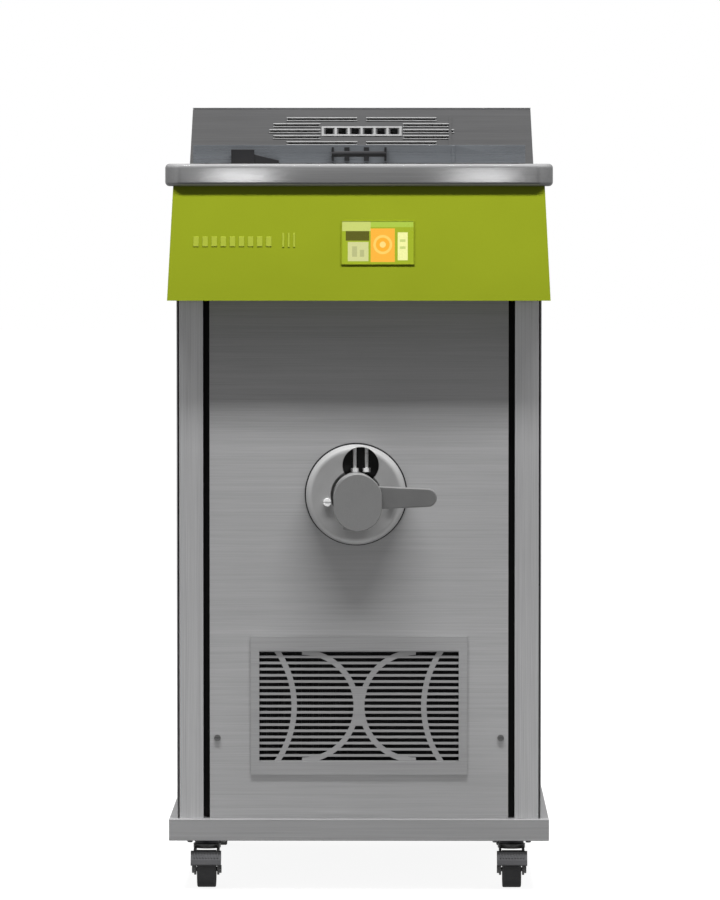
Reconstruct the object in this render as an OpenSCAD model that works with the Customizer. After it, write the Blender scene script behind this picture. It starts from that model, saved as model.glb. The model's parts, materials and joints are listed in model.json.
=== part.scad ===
// Floor-standing ice cream machine: a cooled vertical tank with a belt-driven stirrer,
// a front tap, a hinged lid, a vented rear hood and a base frame on four castors.
// Origin on the floor at the middle of the outline, +Z up, front towards -Y.

/* [Cabinet] */
// Width over the two side panels
body_w = 504; // [460:1:620]
// Depth from the front panel to the rear panel
body_d = 620; // [580:1:760]
// Height of the worktop's upper face above the floor
worktop_z = 1005; // [960:1:1210]
// Thickness of the steel sheets
sheet_t = 1.5; // [1:0.1:2.5]
// Width of each front column
column_w = 33; // [24:1:40]
// Width of the shadow groove beside the front panel
groove_w = 9; // [5:1:14]
// Gap between a side panel's edge and its column
edge_gap = 2; // [1:0.5:4]

/* [Worktop and lid] */
// Height of the rounded worktop rim
rim_h = 31; // [22:1:40]
// Width of the lid
lid_w = 460; // [430:2:480]
// Depth of the lid, front to back
lid_d = 440; // [424:2:450]
// Height of the lid's folded edge
lid_h = 25; // [16:1:30]
// Gap that the lid's seal fills above the worktop
lid_gap = 1; // [0.5:0.5:3]

/* [Fascia and screen] */
// Height of the coloured fascia
fascia_h = 157; // [120:1:200]
// How far its lower edge stands in front of the front panel
fascia_proud = 40; // [24:1:60]
// Width of the touch screen
screen_w = 98; // [80:1:140]
// Height of the touch screen
screen_h = 59; // [50:1:90]

/* [Hood] */
// Height of the rear hood above the worktop
hood_h = 82; // [60:1:110]
// Depth of the rear hood at its foot
hood_d = 100; // [84:1:110]

/* [Tank and stirrer] */
// Inside diameter of the tank
tank_bore = 370; // [300:2:380]
// Height of the tank's inner floor above the floor
tank_floor_z = 545; // [520:1:600]
// Thickness of the insulation round the tank
insulation_t = 36; // [24:1:40]
// Diameter of the stirrer shaft
shaft_bore = 20; // [14:1:26]
// Pitch radius of the pulley on the stirrer shaft
driven_r = 60; // [45:1:70]
// Pitch radius of the pulley on the motor
drive_r = 25; // [20:1:35]

/* [Tap] */
// Outside diameter of the tap's flange
flange_bore = 138; // [120:1:160]
// Height of the tap's axis above the floor
tap_z = 549; // [530:1:600]
// Inside diameter of the spout
spout_bore = 24; // [16:1:28]

/* [Vent grille] */
// Width of the slotted field
vent_w = 276; // [220:2:300]
// Height of the slotted field
vent_h = 154; // [120:1:170]
// Number of rows of slots
vent_rows = 18; // [12:1:22]

/* [Base and castors] */
// Height of the base frame's rails
rail_h = 30; // [24:1:45]
// How far the base frame stands out past the cabinet
rail_over = 11; // [4:1:20]
// Castor height from the floor to the base frame
castor_h = 69; // [66:1:90]
// Diameter of the castor wheels
wheel_bore = 50; // [42:1:52]
// Width of the castor wheels
wheel_w = 26; // [18:1:28]

/* [Hidden] */
CORNERS = ["fl", "fr", "rl", "rr"];
$fn = 64;

// Radial clearance of a shaft in its hole, and the gap left between pieces that only meet
run_fit = 0.05;
slip = 0.3;

// Cabinet levels and faces
base_z = castor_h;
floor_z = base_z + rail_h;
rim_r = rim_h / 2;
rim_corner = 6;
body_top = worktop_z - rim_h;
half_w = body_w / 2;
cap_reach = 104;
gland_reach = 22;
front_y = cap_reach - (cap_reach + body_d + gland_reach) / 2;
back_y = front_y + body_d;
column_out = half_w - sheet_t - edge_gap;
column_in = column_out - column_w;
panel_half = column_in - groove_w;
column_depth = 36;
flange_in = 20;

// Fascia: a bent sheet that leans out towards its foot and wraps the cabinet's corners
fascia_head_proud = 8;
fascia_head_over = 4;
fascia_foot_over = 11.5;
fascia_wrap = 30;
fascia_t = 2;
fascia_z = body_top - fascia_h;
fascia_lean = atan((fascia_proud - fascia_head_proud) / fascia_h);
screen_x = 26;
screen_z = fascia_z + fascia_h / 2 + 1;
bezel_w = 1.5;

// Hood
hood_z = worktop_z + hood_h;
hood_y = back_y - sheet_t - hood_d;
hood_setback = 18;
hood_taper = 4;
hood_lean = atan(hood_setback / hood_h);

// Tank, its mouth in the worktop and the lid over it
tank_r = tank_bore / 2;
tank_wall = 2;
tank_y = front_y + 262;
tank_top = worktop_z - sheet_t;
insulation_r = tank_r + tank_wall + insulation_t;
coil_pipe_r = 5;
lid_front = tank_y - lid_d / 2;
lid_back = tank_y + lid_d / 2;
lid_z = worktop_z + lid_gap;
hinge_y = lid_back + 9;
hinge_z = worktop_z + 10;
hinge_pin_r = 3;
hinge_half = 38;
knuckle_r = 6;
hinge_knuckles = [-hinge_half, -15, 12];

// Tap, drawn looking along its axis: x to the right, y up, z out of the front panel
tap_x = -4;
flange_r = flange_bore / 2;
body_r = 31;
dish_r = 35;
flange_deep = 24;
gasket_t = 2;
spout_r = spout_bore / 2;
spout_out = 56;
spout_drop = 46;
plug_r = 20;
lever_in = 86;
lever_out = 98;
stem_r = 10;
lever_reach = 111;
lever_tip_r = 12.5;
cap_w = 66;
cap_h = 78;
cap_x = 3;
cap_down = 6.5;
socket_l = 22;
pocket_r = 25;
pocket_x = 6.5;
pocket_y = 41;
stud_r = 2.5;
stud_x = 8.2;
stud_head = 66;
nut_y = body_r + 0.5;
clamp_r = 2.5;
clamp_screws = [[-39.5, -10], [48, -11]];
outlet_r = spout_r + 4;

// Vent grille
vent_z = 255;
vent_border = 12;
vent_head = 19;
vent_t = 2;
vent_pitch = vent_h / vent_rows;
vent_slot = vent_pitch * 0.6;
arc_w = 7.5;
inner_arc_r = vent_h / 2 - 2;
outer_arc_r = vent_h * 0.88;
outer_arc_x = vent_w * 0.325;

// Panel screws, as places across and up each panel
screw_r = 2;
front_screws = [for (x = [-196, 196]) [x, vent_z - 44]];
rear_screws = [for (x = [12 - half_w, half_w - 12]) for (k = [0:3])
  [x, floor_z + 30 + k * (body_top - floor_z - 60) / 3]];

// Drive below the tank
shelf_z = 420;
shaft_r = shaft_bore / 2;
pulley_h = 18;
pulley_z = shelf_z + 30;
shaft_foot = pulley_z - 6;
bearing_z = pulley_z + pulley_h + 6;
paddle_z = tank_floor_z + 14;
paddle_h = 40;
paddle_r = tank_r - 45;
shaft_head = paddle_z + paddle_h + 8;
motor_y = tank_y + 175;
motor_r = 62;
motor_len = 170;
motor_shaft_r = 9;
belt_t = 3;
belt_w = 12;

// Refrigeration in the lower cabinet
cond_w = 300;
cond_h = 250;
cond_t = 44;
cond_y = front_y + flange_in + 2;
cond_z = floor_z + 22;
fan_r = 105;
fan_y = cond_y + cond_t + 34;
fan_z = cond_z + cond_h / 2;
fan_hub_r = 24;
fan_shaft_r = 4;
comp_r = 82;
comp_y = tank_y + 70;
comp_x = -130;
comp_z = floor_z + 18;

// Castors: each wheel trails towards the front, and the front pair has brake pedals
castor_x = 212;
castor_in = 60;
trail = 18;
wheel_r = wheel_bore / 2;
axle_r = 3;
kingpin_r = 4;
cheek_t = 3;
cheek_in = wheel_w / 2 + 1.5;
fork_top = castor_h - 9.5;
pedal_y = -42;
pedal_z = 50;
pedal_pin_r = 2;

function castor_at(i) = [
  (i % 2 == 0 ? -1 : 1) * castor_x,
  i < 2 ? front_y - rail_over + castor_in : back_y + rail_over - castor_in
];
function proud_at(z) = fascia_proud - (fascia_proud - fascia_head_proud) * (z - fascia_z) / fascia_h;

steel = [0.66, 0.67, 0.68];
dark_steel = [0.35, 0.36, 0.37];
black = [0.08, 0.08, 0.09];
lime = [0.58, 0.66, 0.13];

module span(lo, hi) translate(lo) cube(hi - lo);

module at_tap() translate([tap_x, front_y, tap_z]) rotate([90, 0, 0]) children();

module at_screen()
  translate([screen_x, front_y - proud_at(screen_z) - run_fit, screen_z]) rotate([90 - fascia_lean, 0, 0]) children();

module at_castor(i) translate([castor_at(i)[0], castor_at(i)[1], 0]) children();

// A cylinder along +X between two places
module rod_x(x0, x1, y, z, r) translate([x0, y, z]) rotate([0, 90, 0]) cylinder(r = r, h = x1 - x0);

module ring(r_out, r_in, h) difference() {
  cylinder(r = r_out, h = h);
  translate([0, 0, -1]) cylinder(r = r_in, h = h + 2);
}

// ---- base ----

module rail(length) difference() {
  cube([length, rail_h, rail_h]);
  translate([2, 2, -1]) cube([length - 4, rail_h - 4, rail_h - 1]);
}

module base_frame() color(steel) {
  w = body_w + 2 * rail_over;
  d = body_d + 2 * rail_over;
  for (y = [front_y - rail_over, back_y + rail_over - rail_h])
    translate([-w / 2, y, base_z]) rail(w);
  for (x = [-w / 2 + rail_h, w / 2])
    translate([x, front_y - rail_over + rail_h, base_z]) rotate([0, 0, 90]) rail(d - 2 * rail_h);
}

module base_plate() color(steel) {
  span([-half_w + sheet_t, front_y + column_depth, floor_z],
       [half_w - sheet_t, back_y - sheet_t, floor_z + 2]);
  span([-column_in, front_y + flange_in, floor_z], [column_in, front_y + column_depth + 1, floor_z + 2]);
}

// ---- cabinet ----

module column_section() difference() {
  square([column_w, column_depth]);
  translate([sheet_t, sheet_t]) square([column_w - 2 * sheet_t, column_depth]);
}

// Holes through a sheet for the panel screws
module screw_holes(places, y) for (p = places)
  translate([p[0], y - 5, p[1]]) rotate([-90, 0, 0]) cylinder(r = screw_r + run_fit, h = 10);

module front_columns() color(steel) for (s = [0, 1]) mirror([s, 0, 0])
  translate([column_in, front_y, floor_z]) linear_extrude(body_top - floor_z) column_section();

module front_panel() color(steel) difference() {
  union() {
    span([-panel_half, front_y, floor_z], [panel_half, front_y + sheet_t, body_top]);
    for (s = [0, 1]) mirror([s, 0, 0])
      span([panel_half - sheet_t, front_y, floor_z], [panel_half, front_y + flange_in, body_top]);
    for (s = [0, 1]) mirror([s, 0, 0])
      span([panel_half - sheet_t, front_y + flange_in - sheet_t, floor_z],
           [column_in - slip, front_y + flange_in, body_top]);
  }
  screw_holes(front_screws, front_y);
  translate([tap_x, front_y - 1, tap_z]) rotate([-90, 0, 0]) cylinder(r = body_r + 4, h = 10);
  span([-vent_w / 2 - 2, front_y - 1, vent_z - vent_h / 2 - 2],
       [vent_w / 2 + 2, front_y + 5, vent_z + vent_h / 2 + 2]);
}

module side_panel() difference() {
  span([half_w - sheet_t, front_y, floor_z], [half_w, back_y - sheet_t, body_top]);
  for (k = [0:9])
    span([half_w - 5, back_y - 260, floor_z + 60 + 16 * k], [half_w + 1, back_y - 80, floor_z + 66 + 16 * k]);
}

module side_panel_left() color(steel) mirror([1, 0, 0]) side_panel();

module side_panel_right() color(steel) side_panel();

module rear_panel() color(steel) difference() {
  union() {
    span([-half_w, back_y - sheet_t, floor_z], [half_w, back_y, worktop_z]);
    translate([0, back_y, 0]) rotate([90, 0, 0]) linear_extrude(sheet_t) polygon([
      [-half_w, worktop_z - 1], [half_w, worktop_z - 1],
      [half_w - hood_taper, hood_z], [-half_w + hood_taper, hood_z]]);
  }
  for (k = [0:13])
    span([-150, back_y - 5, floor_z + 60 + 14 * k], [150, back_y + 1, floor_z + 65 + 14 * k]);
  translate([-170, back_y - 5, floor_z + 60]) rotate([-90, 0, 0]) cylinder(r = 10, h = 10);
  screw_holes(rear_screws, back_y);
}

// Rim profile: a square-backed form with rounded outer corners
module rim_form(half, corner) {
  translate([0, corner - half]) square([half, 2 * (half - corner)]);
  translate([0, -half]) square([half - corner, 2 * half]);
  for (s = [-1, 1]) translate([half - corner, s * (half - corner)]) circle(r = corner);
}

// Rim section: a folded sheet, open towards the cabinet
module rim_section() difference() {
  rim_form(rim_r, rim_corner);
  translate([-1, 0]) rim_form(rim_r - sheet_t, rim_corner - sheet_t);
  translate([-1, sheet_t - rim_r]) square([2, 2 * (rim_r - sheet_t)]);
}

module worktop() color(steel) {
  corner = 8;
  x = half_w - corner;
  y0 = front_y + corner;
  z = worktop_z - rim_r;
  difference() {
    union() {
      span([-x, y0 - corner, tank_top], [x, back_y - sheet_t, worktop_z]);
      for (s = [0, 1]) mirror([s, 0, 0]) span([x - 1, y0, tank_top], [half_w, back_y - sheet_t, worktop_z]);
      for (s = [0, 1]) mirror([s, 0, 0]) translate([x, y0, tank_top]) cylinder(r = corner, h = sheet_t);
    }
    translate([0, tank_y, tank_top - 1]) cylinder(r = tank_r, h = 5);
  }
  translate([-x, front_y, z]) rotate([90, 0, 90]) mirror([1, 0, 0]) linear_extrude(2 * x) rim_section();
  for (s = [0, 1]) mirror([s, 0, 0]) {
    translate([half_w, back_y - sheet_t, z]) rotate([90, 0, 0])
      linear_extrude(back_y - sheet_t - y0) rim_section();
    translate([x, y0, z]) rotate([0, 0, -90]) rotate_extrude(angle = 90)
      translate([corner, 0]) rim_section();
    translate([half_w, back_y - sheet_t, z]) rotate([90, 0, 0]) linear_extrude(sheet_t) rim_form(rim_r, rim_corner);
  }
}

// The fascia's outer form, drawn in by a wall thickness
module fascia_form(wall) hull() {
  head = half_w + fascia_head_over - wall;
  foot = half_w + fascia_foot_over - wall;
  span([-head, front_y - fascia_head_proud + wall, body_top - wall - 0.1],
       [head, front_y + fascia_wrap + wall, body_top - wall]);
  span([-foot, front_y - fascia_proud + wall, fascia_z + wall],
       [foot, front_y + fascia_wrap + wall, fascia_z + wall + 0.1]);
}

module fascia() color(lime) difference() {
  fascia_form(0);
  fascia_form(fascia_t);
  span([-half_w - 1, front_y - 0.5, fascia_z - 1], [half_w + 1, front_y + 100, body_top + 1]);
  at_screen() translate([-screen_w / 2 - 1, -screen_h / 2 - 1, -12]) cube([screen_w + 2, screen_h + 2, 24]);
}

module screen_bezel() color(black) at_screen() difference() {
  translate([-screen_w / 2 - bezel_w, -screen_h / 2 - bezel_w, 0])
    cube([screen_w + 2 * bezel_w, screen_h + 2 * bezel_w, 1.5]);
  translate([-screen_w / 2, -screen_h / 2, -1]) cube([screen_w, screen_h, 4]);
}

module screen_glass() color([0.85, 0.8, 0.4]) at_screen()
  translate([-screen_w / 2, -screen_h / 2, -3]) cube([screen_w, screen_h, 4]);

module control_board() color("darkgreen") at_screen() {
  translate([-screen_w / 2, -screen_h / 2, -6.6]) cube([screen_w, screen_h, 1.6]);
  translate([-screen_w / 2 + 8, -screen_h / 2 + 8, -5.2]) cube([screen_w - 16, screen_h - 16, 2.2]);
  for (x = [-30, 0, 30]) translate([x - 7, -12, -11]) cube([14, 18, 4.6]);
}

// ---- hood ----

// Length of a louvre row at a height from the middle of the oval field of louvres
function louvre_half(k) = 134 * sqrt(1 - pow(k / 3.4, 2));

module hood_front() color(steel) translate([0, hood_y, worktop_z]) rotate([-hood_lean, 0, 0]) {
  h = hood_h / cos(hood_lean) - 0.6;
  mid = h * 0.6;
  difference() {
    translate([0, sheet_t, 0]) rotate([90, 0, 0]) linear_extrude(sheet_t) polygon([
      [-half_w + 0.3, 0.7], [half_w - 0.3, 0.7], [half_w - hood_taper - 0.3, h], [-half_w + hood_taper + 0.3, h]]);
    for (k = [-2:2]) for (s = [-1, 1]) {
      reach = louvre_half(k);
      inner = abs(k) == 2 ? 8 : 62;
      span([s > 0 ? inner : -reach, -1, mid + 9 * k - 1.6], [s > 0 ? reach : -inner, 4, mid + 9 * k + 1.6]);
    }
    for (k = [-2.5:1:2.5]) span([19 * k - 5.5, -1, mid - 4.5], [19 * k + 5.5, 4, mid + 4.5]);
  }
  span([128, -1.5, 1], [132, 0.2, h - 12]);
}

module hood_top() color(steel) span([-half_w + hood_taper, hood_y + hood_setback, hood_z],
  [half_w - hood_taper, back_y, hood_z + sheet_t]);

module hood_sides() color(steel) for (s = [0, 1]) mirror([s, 0, 0])
  translate([half_w - sheet_t - 0.5, hood_y + 3.4, worktop_z]) rotate([0, -atan(hood_taper / hood_h), 0])
    rotate([90, 0, 90]) linear_extrude(sheet_t) polygon([
      [0, 0.3], [hood_d - 4, 0.3], [hood_d - 4, hood_h - 0.5], [hood_setback, hood_h - 0.5]]);

// ---- vent grille and small trim ----

// An upright arc that bulges towards +X and reaches its widest at x
module vent_arc(x, r) translate([x - r, 0]) intersection() {
  difference() {
    circle(r = r + arc_w / 2);
    circle(r = r - arc_w / 2);
  }
  translate([0, -r - arc_w]) square([2 * r, 2 * (r + arc_w)]);
}

module vent_slots() for (k = [0:vent_rows - 1])
  translate([-vent_w / 2, -vent_h / 2 + vent_pitch * (k + 0.5) - vent_slot / 2]) square([vent_w, vent_slot]);

module vent_solid() {
  for (s = [0, 1]) mirror([s, 0]) {
    vent_arc(-arc_w / 2, inner_arc_r);
    vent_arc(-outer_arc_x, outer_arc_r);
  }
  intersection() {
    square([26, 54], center = true);
    difference() {
      square([26, 54], center = true);
      for (s = [-1, 1]) translate([s * (inner_arc_r + arc_w / 2), 0]) circle(r = inner_arc_r - arc_w / 2);
    }
  }
}

module vent_grille() color(steel) translate([0, front_y + sheet_t, vent_z]) rotate([90, 0, 0]) {
  linear_extrude(sheet_t) difference() {
    square([vent_w, vent_h], center = true);
    difference() {
      vent_slots();
      vent_solid();
    }
  }
  translate([0, 0, sheet_t]) linear_extrude(vent_t) difference() {
    translate([0, 1]) square([vent_w + 2 * vent_border, vent_h + 2 * vent_head], center = true);
    square([vent_w, vent_h], center = true);
  }
}

module screw() {
  cylinder(r = screw_r, h = 6);
  translate([0, 0, 6]) difference() {
    cylinder(r = 4.5, h = 2.2);
    translate([-3.5, -0.6, 1]) cube([7, 1.2, 2]);
  }
}

module panel_screws() color(dark_steel) {
  for (p = front_screws) translate([p[0], front_y + 6, p[1]]) rotate([90, 0, 0]) screw();
  for (p = rear_screws) translate([p[0], back_y - 6, p[1]]) rotate([-90, 0, 0]) screw();
}

module cable_gland() color(black) translate([-170, back_y, floor_z + 60]) rotate([-90, 0, 0]) difference() {
  union() {
    translate([0, 0, -12]) cylinder(r = 9.8, h = 12);
    cylinder(r = 15, h = 6, $fn = 6);
    translate([0, 0, 6]) cylinder(r = 12, h = gland_reach - 6);
  }
  translate([0, 0, -13]) cylinder(r = 5, h = gland_reach + 14);
}

module motor_shelf() color(steel) difference() {
  span([-half_w + sheet_t, front_y + column_depth, shelf_z],
       [half_w - sheet_t, back_y - sheet_t, shelf_z + 2]);
  translate([0, motor_y, shelf_z - 1]) cylinder(r = motor_shaft_r + 6, h = 4);
}

module electrical_box() color([0.75, 0.76, 0.76]) {
  span([110, back_y - 150, floor_z + 40], [238, back_y - 40, floor_z + 260]);
  span([106, back_y - 154, floor_z + 36], [242, back_y - 148, floor_z + 264]);
}

// ---- tank and tap ----

module tank() color(steel) translate([0, tank_y, 0]) difference() {
  union() {
    translate([0, 0, tank_floor_z - tank_wall]) cylinder(r = tank_r + tank_wall, h = tank_top - tank_floor_z + tank_wall);
    translate([0, 0, tank_top - 2]) cylinder(r = tank_r + 12, h = 2);
  }
  translate([0, 0, tank_floor_z]) cylinder(r = tank_r, h = tank_top);
  translate([0, 0, tank_floor_z - 10]) cylinder(r = shaft_r + 8, h = 20);
  translate([tap_x, -tank_r + 20, tap_z]) rotate([90, 0, 0]) cylinder(r = spout_r, h = 40);
}

module tank_insulation() color([0.9, 0.86, 0.62]) translate([0, tank_y, 0]) difference() {
  translate([0, 0, tank_floor_z - tank_wall]) cylinder(r = insulation_r, h = tank_top - tank_floor_z - 12);
  translate([0, 0, tank_floor_z - 10]) cylinder(r = tank_r + tank_wall + 2 * coil_pipe_r + 1, h = tank_top);
  translate([tap_x, -tank_r + 20, tap_z]) rotate([90, 0, 0]) cylinder(r = outlet_r + 1, h = 90);
}

module evaporator_coil() color([0.72, 0.45, 0.3]) translate([0, tank_y, 0])
  for (k = [0:11]) translate([0, 0, tap_z + 40 + k * 28]) rotate_extrude()
    translate([tank_r + tank_wall + coil_pipe_r + 0.3, 0]) circle(r = coil_pipe_r);

module outlet_pipe() color(steel) {
  start = tank_y - sqrt(pow(tank_r + tank_wall + 0.5, 2) - pow(outlet_r, 2));
  difference() {
    translate([tap_x, start - 0.5, tap_z]) rotate([90, 0, 0]) cylinder(r = outlet_r, h = start - front_y - 4.5);
    translate([tap_x, start + 5, tap_z]) rotate([90, 0, 0]) cylinder(r = spout_r, h = 90);
    translate([0, tank_y, tap_z - 40]) cylinder(r = tank_r + tank_wall + 0.2, h = 80);
  }
}

module tap_gasket() color(black) at_tap() ring(flange_r + 2, body_r + 1, gasket_t);

module at_studs() for (x = [pocket_x - stud_x, pocket_x + stud_x])
  translate([x, 0, gasket_t + 12]) rotate([-90, 0, 0]) children();

module tap_flange() color([0.8, 0.8, 0.8]) at_tap() difference() {
  rotate_extrude() {
    translate([dish_r, gasket_t]) square([flange_r - dish_r, flange_deep - 10]);
    translate([dish_r, gasket_t]) square([flange_r - dish_r - 10, flange_deep]);
    translate([flange_r - 10, gasket_t + flange_deep - 10]) circle(r = 10);
    translate([body_r + 0.1, gasket_t]) square([dish_r - body_r, 4]);
  }
  translate([pocket_x, pocket_y, gasket_t + 6]) cylinder(r = pocket_r, h = flange_deep);
  at_studs() translate([0, 0, pocket_y + 10]) cylinder(r = stud_r + run_fit, h = stud_head - pocket_y - 9.8);
  for (p = clamp_screws)
    translate([p[0], p[1], gasket_t + 6]) cylinder(r = clamp_r + run_fit, h = flange_deep);
}

module tap_fasteners() color(steel) at_tap() {
  at_studs() {
    translate([0, 0, nut_y]) cylinder(r = 5.5, h = 5.5, $fn = 6);
    translate([0, 0, nut_y + 3]) cylinder(r = stud_r, h = stud_head - nut_y - 3);
  }
  for (p = clamp_screws) translate([p[0], p[1], gasket_t + 8]) {
    cylinder(r = clamp_r, h = flange_deep - 8);
    translate([0, 0, flange_deep - 8]) difference() {
      cylinder(r = 5.5, h = 4);
      translate([-6, -0.8, 2]) cube([12, 1.6, 3]);
    }
  }
}

module tap_body() color([0.7, 0.7, 0.7]) at_tap() difference() {
  union() {
    translate([0, 0, -4]) cylinder(r = body_r, h = lever_in + 3.5);
    translate([0, 0, spout_out]) rotate([90, 0, 0]) cylinder(r = spout_r + 5, h = spout_drop);
  }
  translate([0, 0, -5]) cylinder(r = plug_r + run_fit, h = lever_in + 10);
  translate([0, 0, spout_out]) rotate([90, 0, 0]) cylinder(r = spout_r - 2, h = spout_drop - socket_l + 1);
  translate([0, socket_l - spout_drop, spout_out]) rotate([90, 0, 0]) cylinder(r = spout_r, h = socket_l + 1);
}

module tap_plug() color(steel) at_tap() difference() {
  union() {
    translate([0, 0, 4]) cylinder(r = plug_r, h = lever_in - 4);
    cylinder(r = stem_r, h = cap_reach - 6);
  }
  translate([0, 0, -1]) cylinder(r = stem_r - 2, h = spout_out + 1);
  translate([0, 0, spout_out]) rotate([0, 90, 0]) cylinder(r = stem_r - 1, h = plug_r + 1);
}

module tap_lever() color([0.75, 0.75, 0.75]) at_tap() translate([0, 0, lever_in]) difference() {
  linear_extrude(lever_out - lever_in) {
    circle(r = 20);
    translate([lever_reach - lever_tip_r, 0]) circle(r = lever_tip_r);
    polygon([[0, -17], [lever_reach - lever_tip_r, -lever_tip_r], [lever_reach - lever_tip_r, lever_tip_r], [0, 17]]);
  }
  translate([0, 0, -1]) cylinder(r = stem_r + run_fit, h = 20);
}

module tap_cap() color([0.5, 0.5, 0.5]) at_tap() translate([cap_x, -cap_down, lever_out])
  linear_extrude(cap_reach - lever_out) {
    for (s = [-1, 1]) translate([0, s * (cap_h - cap_w) / 2]) circle(d = cap_w);
    square([cap_w, cap_h - cap_w], center = true);
  }

// ---- stirrer drive ----

module bearing_housing() color(dark_steel) translate([0, tank_y, 0]) difference() {
  union() {
    translate([0, 0, bearing_z]) cylinder(r = shaft_r + 16, h = tank_floor_z - tank_wall - bearing_z);
    translate([0, 0, tank_floor_z - tank_wall - 8]) cylinder(r = shaft_r + 34, h = 8);
    translate([0, 0, tank_floor_z - tank_wall - 1]) cylinder(r = shaft_r + 7.5, h = tank_wall + 5);
  }
  translate([0, 0, bearing_z - 1]) cylinder(r = shaft_r + run_fit, h = tank_floor_z);
}

module stirrer_shaft() color(steel) translate([0, tank_y, shaft_foot]) cylinder(r = shaft_r, h = shaft_head - shaft_foot);

module stirrer_paddle() color(steel) translate([0, tank_y, paddle_z]) difference() {
  union() {
    cylinder(r = shaft_r + 8, h = paddle_h);
    for (k = [0:2]) rotate([0, 0, 120 * k + 90])
      translate([shaft_r + 4, 0, paddle_h / 2]) rotate([35, 0, 0]) translate([0, -1.5, -paddle_h / 2])
        cube([paddle_r - shaft_r - 4, 3, paddle_h]);
  }
  translate([0, 0, -1]) cylinder(r = shaft_r + run_fit, h = paddle_h + 2);
}

module pulley(r, bore) difference() {
  union() {
    cylinder(r = r - belt_t, h = pulley_h);
    cylinder(r = r + 3, h = 2.5);
    translate([0, 0, pulley_h - 2.5]) cylinder(r = r + 3, h = 2.5);
  }
  translate([0, 0, -1]) cylinder(r = bore, h = pulley_h + 2);
}

module driven_pulley() color(dark_steel) translate([0, tank_y, pulley_z]) pulley(driven_r, shaft_r + run_fit);

module drive_pulley() color(dark_steel) translate([0, motor_y, pulley_z]) {
  pulley(drive_r, motor_shaft_r - 1);
  translate([0, 0, shelf_z - 10 - pulley_z]) cylinder(r = motor_shaft_r, h = 10 - shelf_z + pulley_z + pulley_h);
}

module belt_outline(extra) hull() {
  translate([0, tank_y]) circle(r = driven_r - belt_t + extra);
  translate([0, motor_y]) circle(r = drive_r - belt_t + extra);
}

module drive_belt() color(black) translate([0, 0, pulley_z + (pulley_h - belt_w) / 2]) linear_extrude(belt_w) difference() {
  belt_outline(slip + belt_t);
  belt_outline(slip);
}

module gear_motor() color(dark_steel) translate([0, motor_y, 0]) difference() {
  union() {
    translate([-55, -55, shelf_z - 12]) cube([110, 110, 12]);
    translate([0, 0, shelf_z - motor_len]) cylinder(r = motor_r - 6, h = motor_len - 10);
    for (k = [0:11]) translate([0, 0, shelf_z - 40 - 10 * k]) cylinder(r = motor_r, h = 4);
    translate([0, 0, shelf_z - motor_len - 18]) cylinder(r = motor_r - 2, h = 22);
  }
  translate([0, 0, shelf_z - 30]) cylinder(r = motor_shaft_r + run_fit, h = 40);
}

// ---- lid ----

module lid() color([0.72, 0.74, 0.76]) difference() {
  union() {
    difference() {
      span([-lid_w / 2, lid_front, lid_z], [lid_w / 2, lid_back, lid_z + lid_h]);
      span([-lid_w / 2 + sheet_t, lid_front + sheet_t, lid_z - 1],
           [lid_w / 2 - sheet_t, lid_back - sheet_t, lid_z + lid_h - sheet_t]);
    }
    span([128, lid_front - 1.5, lid_z + 0.5], [132, lid_front + 0.1, lid_z + lid_h - 0.5]);
    for (x = hinge_knuckles) if (x > -hinge_half) rod_x(x - 8, x + 8, hinge_y, hinge_z, knuckle_r);
    for (x = hinge_knuckles) if (x > -hinge_half)
      span([x - 8, lid_back - 1, hinge_z - 2], [x + 8, hinge_y, hinge_z + 2]);
  }
  rod_x(-hinge_half, hinge_half, hinge_y, hinge_z, hinge_pin_r + run_fit);
}

module lid_seal() color(black) translate([0, tank_y, worktop_z]) ring(tank_r + 14, tank_r + 6, lid_gap + lid_h - sheet_t);

module lid_handle() color(black) {
  z0 = lid_z + 3;
  z1 = lid_z + lid_h - 3;
  for (x = [-hinge_half, hinge_half - 3]) span([x, lid_front - 30, z0], [x + 3, lid_front, z1]);
  for (x = [-17, 10]) span([x - 3.5, lid_front - 3, z0], [x + 3.5, lid_front, z1]);
  rod_x(-hinge_half, hinge_half, lid_front - 27, (z0 + z1) / 2, 4);
}

module lid_hinge() color(dark_steel) {
  difference() {
    union() {
      for (x = [-hinge_half, -2.5, hinge_half - 8]) {
        rod_x(x, x + (x == -2.5 ? 4.5 : 8), hinge_y, hinge_z, knuckle_r);
        span([x, hinge_y - knuckle_r, worktop_z], [x + (x == -2.5 ? 4.5 : 8), hinge_y + knuckle_r, hinge_z]);
      }
      span([-hinge_half, hinge_y - knuckle_r, worktop_z], [hinge_half, hinge_y + 14, worktop_z + 2]);
    }
    rod_x(-hinge_half - 1, hinge_half + 1, hinge_y, hinge_z, hinge_pin_r + run_fit);
  }
  rod_x(-hinge_half - 2, hinge_half + 2, hinge_y, hinge_z, hinge_pin_r);
}

module lid_switch() color(black) {
  span([-177, lid_front - 16, worktop_z], [-145, lid_front - 2, worktop_z + 20]);
  translate([-145, lid_front - 4, worktop_z]) rotate([90, 0, 0]) linear_extrude(10)
    polygon([[0, 0], [34, 0], [34, 5], [0, 13]]);
}

// ---- refrigeration ----

module compressor() color([0.1, 0.1, 0.1]) translate([comp_x, comp_y, comp_z]) {
  rotate_extrude() {
    translate([0, 4]) square([comp_r, 140]);
    intersection() {
      translate([0, 144]) circle(r = comp_r);
      translate([0, 144]) square([comp_r, 46]);
    }
  }
  translate([-comp_r, -comp_r, 0]) cube([2 * comp_r, 2 * comp_r, 4]);
  translate([comp_r - 10, -22, 60]) cube([34, 44, 60]);
}

module compressor_feet() color(black) for (x = [-1, 1]) for (y = [-1, 1])
  translate([comp_x + x * (comp_r - 16), comp_y + y * (comp_r - 16), floor_z + 2]) cylinder(r = 12, h = comp_z - floor_z - 2);

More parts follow.
